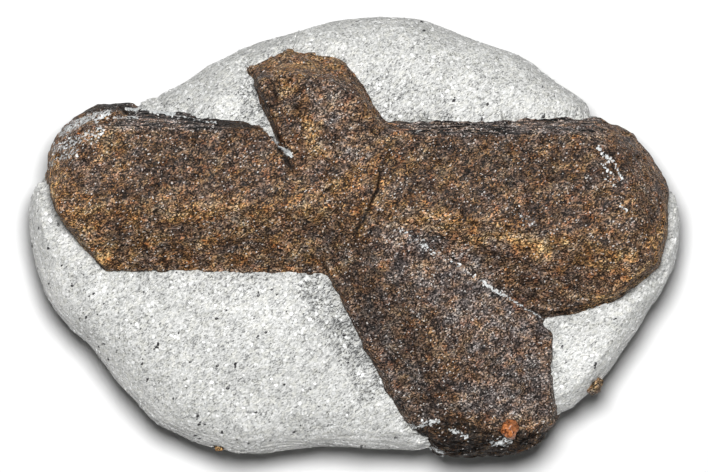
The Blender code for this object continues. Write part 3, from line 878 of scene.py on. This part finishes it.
# A tree that scatters one small shape over a mesh, as densely as a mask on it says
def makeScatterTree(name, shape, mask):
    tree = bpy.data.node_groups.new(name, "GeometryNodeTree")
    tree.interface.new_socket("Geometry", in_out="INPUT", socket_type="NodeSocketGeometry")
    for socketName, kind in (
        ("Density", "NodeSocketFloat"), ("Seed", "NodeSocketInt"), ("Smallest", "NodeSocketFloat"),
        ("Largest", "NodeSocketFloat"), ("Length", "NodeSocketFloat"), ("Thickness", "NodeSocketFloat"),
        ("Heading", "NodeSocketFloat"), ("Spread", "NodeSocketFloat"), ("Tilt", "NodeSocketFloat"),
        ("Sink", "NodeSocketFloat"), ("Material", "NodeSocketMaterial"),
    ):
        tree.interface.new_socket(socketName, in_out="INPUT", socket_type=kind)
    tree.interface.new_socket("Geometry", in_out="OUTPUT", socket_type="NodeSocketGeometry")
    given = tree.nodes.new("NodeGroupInput").outputs
    where = addNode(tree, "GeometryNodeInputNamedAttribute", {"Name": mask}, data_type="FLOAT")
    density = addMath(tree, "MULTIPLY", where.outputs["Attribute"], given["Density"])
    points = addNode(tree, "GeometryNodeDistributePointsOnFaces", {
        "Mesh": given["Geometry"], "Density": density, "Seed": given["Seed"],
    })
    size = addRandom(tree, "FLOAT", given["Smallest"], given["Largest"], seed=0)
    turn = addRandom(tree, "FLOAT", -1.0, 1.0, seed=3)
    lean = addRandom(tree, "FLOAT_VECTOR", (-1, -1, 0), (1, 1, 0), seed=5)
    angle = addMath(tree, "MULTIPLY_ADD", turn, given["Spread"], given["Heading"])
    euler = addNode(tree, "ShaderNodeCombineXYZ", {"Z": angle})
    heading = addNode(tree, "FunctionNodeEulerToRotation", {"Euler": euler.outputs[0]})
    upright = addNode(tree, "FunctionNodeAlignRotationToVector", {
        "Rotation": heading.outputs[0], "Vector": points.outputs["Normal"],
    }, axis="Z")
    tipped = addNode(tree, "FunctionNodeEulerToRotation", {"Euler": addScale(tree, lean, given["Tilt"])})
    turned = addNode(tree, "FunctionNodeRotateRotation", {
        "Rotation": upright.outputs[0], "Rotate By": tipped.outputs[0],
    }, rotation_space="LOCAL")
    depth = addMath(tree, "MULTIPLY", size, addMath(tree, "MULTIPLY", given["Sink"], -1.0))
    sunk = addNode(tree, "GeometryNodeSetPosition", {
        "Geometry": points.outputs["Points"], "Offset": addScale(tree, points.outputs["Normal"], depth),
    })
    scale = addNode(tree, "ShaderNodeCombineXYZ", {
        "X": addMath(tree, "MULTIPLY", size, given["Length"]), "Y": size,
        "Z": addMath(tree, "MULTIPLY", size, given["Thickness"]),
    })
    body = addShape(tree, shape)
    copies = addNode(tree, "GeometryNodeInstanceOnPoints", {
        "Points": sunk.outputs[0], "Instance": body, "Rotation": turned.outputs[0], "Scale": scale.outputs[0],
    })
    real = addNode(tree, "GeometryNodeRealizeInstances", {"Geometry": copies.outputs[0]})
    finish = addNode(tree, "GeometryNodeSetMaterial", {
        "Geometry": real.outputs[0], "Material": given["Material"],
    })
    result = tree.nodes.new("NodeGroupOutput")
    tree.links.new(finish.outputs[0], result.inputs["Geometry"])
    return tree


# Density is per square metre, sizes in metres and angles in radians
alongSchist = math.radians(schist["lineation"])
scatters = {
    "micaFlakes": {
        "host": schistSkin, "shape": "flake", "mask": "exposed", "slot": "schist",
        "Density": 0.9e6, "Seed": 11, "Smallest": 0.16 * mm, "Largest": 0.50 * mm, "Length": 1.3,
        "Thickness": 0.16, "Heading": alongSchist, "Spread": 1.4, "Tilt": 0.32, "Sink": -0.02,
        "Material": micaMaterial,
    },
    "blackSpecks": {
        "host": schistSkin, "shape": "cluster", "mask": "specks", "slot": "schist",
        "Density": 0.095e6, "Seed": 23, "Smallest": 0.15 * mm, "Largest": 0.58 * mm, "Length": 1.6,
        "Thickness": 0.6, "Heading": alongSchist, "Spread": 0.7, "Tilt": 0.2, "Sink": 0.16,
        "Material": speckMaterial,
    },
    "darkDust": {
        "host": schistSkin, "shape": "grain", "mask": "exposed", "slot": "schist",
        "Density": 0.09e6, "Seed": 31, "Smallest": 0.10 * mm, "Largest": 0.22 * mm, "Length": 1.4,
        "Thickness": 0.7, "Heading": alongSchist, "Spread": 0.8, "Tilt": 0.2, "Sink": 0.10,
        "Material": speckMaterial,
    },
    "seamMica": {
        "host": crossedCrystals, "shape": "flake", "mask": "film", "slot": "schist",
        "Density": 1.2e6, "Seed": 41, "Smallest": 0.14 * mm, "Largest": 0.36 * mm, "Length": 1.5,
        "Thickness": 0.25, "Heading": 0.6, "Spread": 1.6, "Tilt": 0.4, "Sink": -0.02,
        "Material": micaMaterial,
    },
    "crystalGrains": {
        "host": crossedCrystals, "shape": "grain", "mask": "grainy", "slot": "staurolite",
        "Density": 2.6e6, "Seed": 53, "Smallest": 0.16 * mm, "Largest": 0.42 * mm, "Length": 1.2,
        "Thickness": 0.7, "Heading": 0.0, "Spread": 3.1, "Tilt": 0.6, "Sink": 0.22,
        "Material": stauroliteMaterial,
    },
}


def scatter(name, look):
    tree = makeScatterTree(name, look["shape"], look["mask"])
    piece = linkPiece(name, look["host"].data.copy())
    piece.data.materials.clear()
    modifier = piece.modifiers.new("scatter", "NODES")
    modifier.node_group = tree
    for socket in tree.interface.items_tree:
        if socket.in_out == "INPUT" and socket.name in look:
            modifier[socket.identifier] = look[socket.name]
    settle(piece)
    print(name, len(piece.data.polygons), "faces")
    return piece


scattered = {name: scatter(name, look) for name, look in scatters.items()}


# what stands for what

pieces = {crossedCrystals: "staurolite", schistSkin: "schist"}
for nodeName, spec in smallPieces.items():
    pieces[small[nodeName]] = spec["slot"]
for name, look in scatters.items():
    pieces[scattered[name]] = look["slot"]
for piece, slotName in pieces.items():
    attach(piece, "root")
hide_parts("staurolite_twin")
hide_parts("schist")
for nodeName, piece in small.items():
    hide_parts(nodeName)
print("pieces ride on the body")


# studio: white floor, a large soft lamp nearly overhead, and the camera above

studio = {
    "floorHalf": 1.5,   # m
    "floorLevel": -0.02,   # mm
    "floorTones": (0.70, 0.69),
    "floorCloud": (300.0, 0.5, 0.4),
    "floorRoughness": 0.9,
    "floorShine": 0.1,
    "worldLight": 0.0,
    "lampPlace": (-0.002, 0.068, 0.5),
    "lampSize": 0.134,
    "lampPower": 3.95,
    "cameraHeight": 1.6,
    "frameWidth": 97.7,   # mm across the picture, at the outline's height
    "outlineHeight": 11.0,   # mm
    "sensor": 36.0,   # mm
    "clipStart": 0.05,
}


def makeFloor():
    mesh = bpy.data.meshes.new("floor")
    half, level = studio["floorHalf"], studio["floorLevel"] * mm
    corners = [(-half, -half, level), (half, -half, level), (half, half, level), (-half, half, level)]
    mesh.from_pydata(corners, [], [(0, 1, 2, 3)])
    floor = linkPiece("floor", mesh)
    made, tree, shader, place = newMaterial("floor")
    cloud = addPatches(tree, place, *studio["floorCloud"])
    first, second = ((tone, tone, tone, 1) for tone in studio["floorTones"])
    tree.links.new(addMix(tree, cloud, first, second), shader.inputs["Base Color"])
    shader.inputs["Roughness"].default_value = studio["floorRoughness"]
    shader.inputs["Specular IOR Level"].default_value = studio["floorShine"]
    mesh.materials.append(made)


def makeLamp():
    lamp = bpy.data.lights.new("overhead", "AREA")
    lamp.shape = "DISK"
    lamp.size = studio["lampSize"]
    lamp.energy = studio["lampPower"]
    carrier = bpy.data.objects.new("overhead", lamp)
    carrier.location = studio["lampPlace"]
    carrier.rotation_euler = (-Vector(studio["lampPlace"])).to_track_quat("-Z", "Y").to_euler()
    carrier.visible_camera = False
    scene.collection.objects.link(carrier)
    world = bpy.data.worlds.new("studio")
    world.use_nodes = True
    background = world.node_tree.nodes["Background"]
    background.inputs["Color"].default_value = (1, 1, 1, 1)
    background.inputs["Strength"].default_value = studio["worldLight"]
    scene.world = world


def makeCamera():
    camera = bpy.data.cameras.new("overhead")
    height = studio["cameraHeight"]
    camera.sensor_width = studio["sensor"]
    camera.lens = studio["sensor"] * (height - studio["outlineHeight"] * mm) / (studio["frameWidth"] * mm)
    camera.clip_start = studio["clipStart"]
    carrier = bpy.data.objects.new("camera", camera)
    carrier.location = (0, 0, height)
    scene.collection.objects.link(carrier)
    scene.camera = carrier


makeFloor()
makeLamp()
makeCamera()
scene.view_settings.view_transform = "Standard"
print("studio made")
